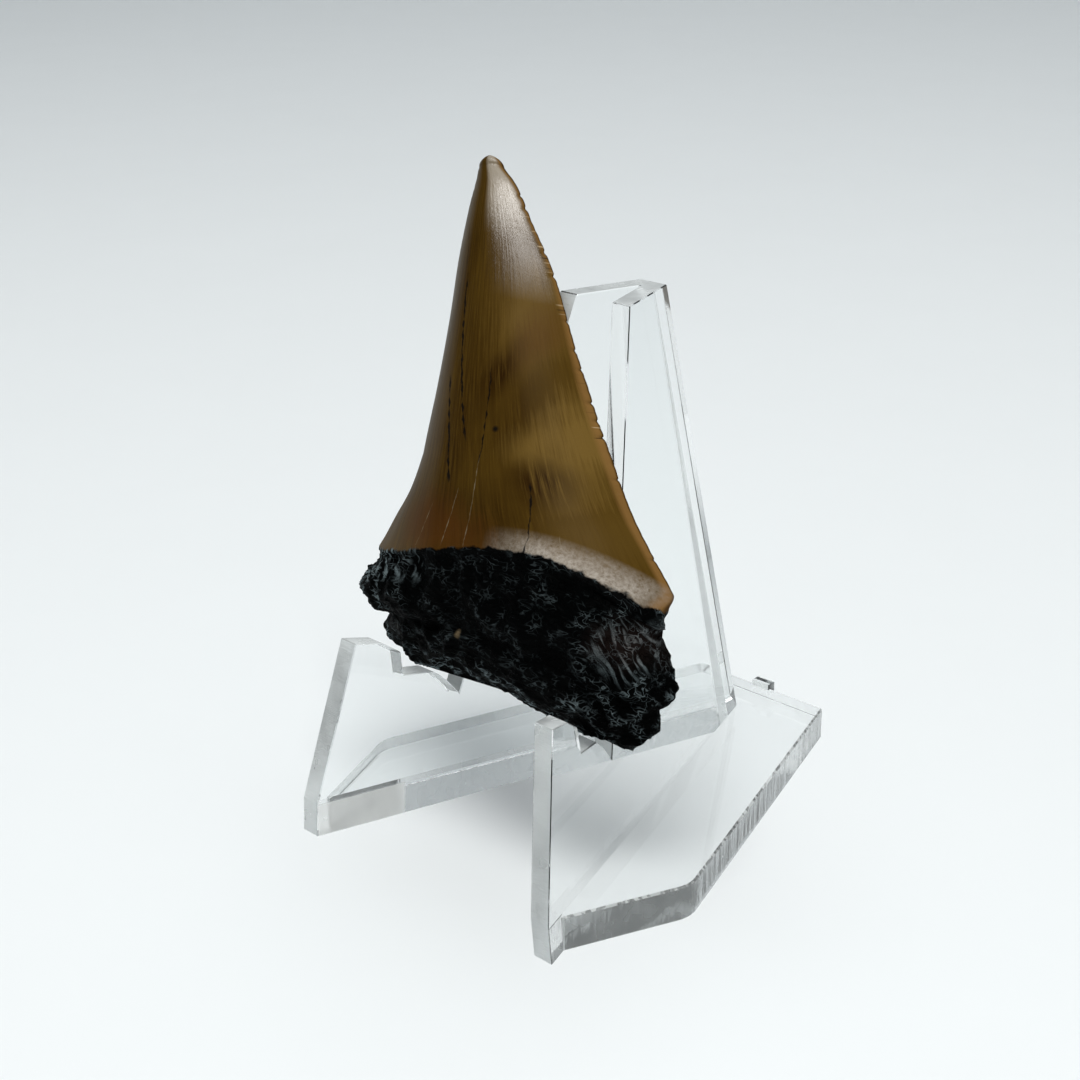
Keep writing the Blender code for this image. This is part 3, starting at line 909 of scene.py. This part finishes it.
def add_camera(settings):
    """The camera at the photograph's angle."""
    back, right, up = camera_axes(settings)
    roll = settings.roll
    tilted_right = right * math.cos(roll) + up * math.sin(roll)
    tilted_up = up * math.cos(roll) - right * math.sin(roll)
    camera = bpy.data.objects.new("camera", bpy.data.cameras.new("camera"))
    bpy.context.scene.collection.objects.link(camera)
    matrix = camera.matrix_world.to_3x3()
    for row in range(3):
        matrix[row] = (tilted_right[row], tilted_up[row], back[row])
    camera.matrix_world = matrix.to_4x4()
    camera.location = TARGET + back * settings.distance
    camera.data.lens = settings.lens
    camera.data.sensor_width = 36.0
    camera.data.clip_start = 0.01
    bpy.context.scene.camera = camera


def aimed(azimuth, elevation, distance):
    """A place for a light, by its angle to the right of the front, its height and its distance."""
    turn, climb = math.radians(azimuth), math.radians(elevation)
    flat = math.cos(climb)
    return Vector((math.sin(turn) * flat, -math.cos(turn) * flat, math.sin(climb))) * distance


def add_softbox(name, place, aim, size, power, colour):
    """A rectangular light at a place, turned to its aim."""
    light = bpy.data.lights.new(name, "AREA")
    light.shape = "RECTANGLE"
    light.size, light.size_y = size
    light.energy = power
    light.color = colour
    lamp = bpy.data.objects.new(name, light)
    bpy.context.scene.collection.objects.link(lamp)
    lamp.location = place
    lamp.rotation_euler = (Vector(aim) - Vector(place)).to_track_quat("-Z", "Y").to_euler()


def add_backdrop(settings):
    """A table that curves up into a wall behind the object."""
    back, right, _ = camera_axes(settings)
    away = Vector((-back.x, -back.y, 0)).normalized()
    profile = [(TABLE_NEAR, 0.0), (TABLE_FAR, 0.0)]
    for step in range(1, CURVE_STEPS + 1):
        angle = step / CURVE_STEPS * math.pi / 2
        profile.append((TABLE_FAR + CURVE_RADIUS * math.sin(angle), CURVE_RADIUS * (1 - math.cos(angle))))
    profile.append((TABLE_FAR + CURVE_RADIUS, WALL_TOP))
    points = [away * along + right * side * TABLE_HALF + Vector((0, 0, height - TABLE_GAP))
              for along, height in profile for side in (-1, 1)]
    faces = [(2 * i, 2 * i + 1, 2 * i + 3, 2 * i + 2) for i in range(len(profile) - 1)]
    return new_mesh_object("table", np.array([tuple(p) for p in points]), faces)


def light_room(settings):
    """The room's soft light and the two lamps."""
    world = bpy.data.worlds.new("room")
    bpy.context.scene.world = world
    world.use_nodes = True
    background = world.node_tree.nodes["Background"]
    background.inputs["Color"].default_value = (*settings.sky, 1.0)
    background.inputs["Strength"].default_value = settings.sky_strength
    add_softbox("window", aimed(*WINDOW_ANGLES), WINDOW_AIM, WINDOW_SIZE,
                settings.window_power, settings.window_colour)
    add_softbox("overhead", OVERHEAD_PLACE, OVERHEAD_AIM, OVERHEAD_SIZE,
                settings.overhead_power, settings.overhead_colour)


# The operators.


class FOSSIL_OT_tooth(bpy.types.Operator):
    """Build the fossil tooth in place of its plain solid"""

    bl_idname = "fossil.tooth"
    bl_label = "Fossil Tooth"

    def execute(self, context):
        settings = context.scene.fossil_tooth
        tooth = build_tooth(settings)
        tooth.data.materials.append(fossil_finish(settings))
        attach(tooth, "root")
        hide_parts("tooth")
        return {"FINISHED"}


class FOSSIL_OT_stand(bpy.types.Operator):
    """Give the display stand its clear plastic"""

    bl_idname = "fossil.stand"
    bl_label = "Clear Stand"

    def execute(self, context):
        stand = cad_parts["display_stand"]
        stand.data.materials.clear()
        stand.data.materials.append(plastic_finish(context.scene.fossil_stand))
        stand.visible_shadow = False
        stand.visible_diffuse = False
        return {"FINISHED"}


class FOSSIL_OT_stage(bpy.types.Operator):
    """Add the table, the lights and the camera"""

    bl_idname = "fossil.stage"
    bl_label = "Stage"

    def execute(self, context):
        settings = context.scene.fossil_stage
        table = add_backdrop(settings)
        table.data.materials.append(table_finish(settings))
        light_room(settings)
        add_camera(settings)
        context.scene.view_settings.view_transform = "Standard"
        return {"FINISHED"}


class FOSSIL_PT_panel(bpy.types.Panel):
    """The tooth, its stand and the stage"""

    bl_idname = "FOSSIL_PT_panel"
    bl_label = "Fossil Tooth"
    bl_space_type = "VIEW_3D"
    bl_region_type = "UI"
    bl_category = "Fossil Tooth"

    def draw(self, context):
        for operator in OPERATORS:
            self.layout.operator(operator.bl_idname)


SETTINGS = {"fossil_tooth": ToothSettings, "fossil_stand": StandSettings, "fossil_stage": StageSettings}
OPERATORS = (FOSSIL_OT_tooth, FOSSIL_OT_stand, FOSSIL_OT_stage)


def register():
    for cls in (*SETTINGS.values(), *OPERATORS, FOSSIL_PT_panel):
        bpy.utils.register_class(cls)
    for name, group in SETTINGS.items():
        setattr(bpy.types.Scene, name, bpy.props.PointerProperty(type=group))


def unregister():
    for name in SETTINGS:
        delattr(bpy.types.Scene, name)
    for cls in (FOSSIL_PT_panel, *reversed(OPERATORS), *SETTINGS.values()):
        bpy.utils.unregister_class(cls)


def main():
    register()
    for operator in (bpy.ops.fossil.tooth, bpy.ops.fossil.stand, bpy.ops.fossil.stage):
        operator()


if __name__ == "__main__":
    main()
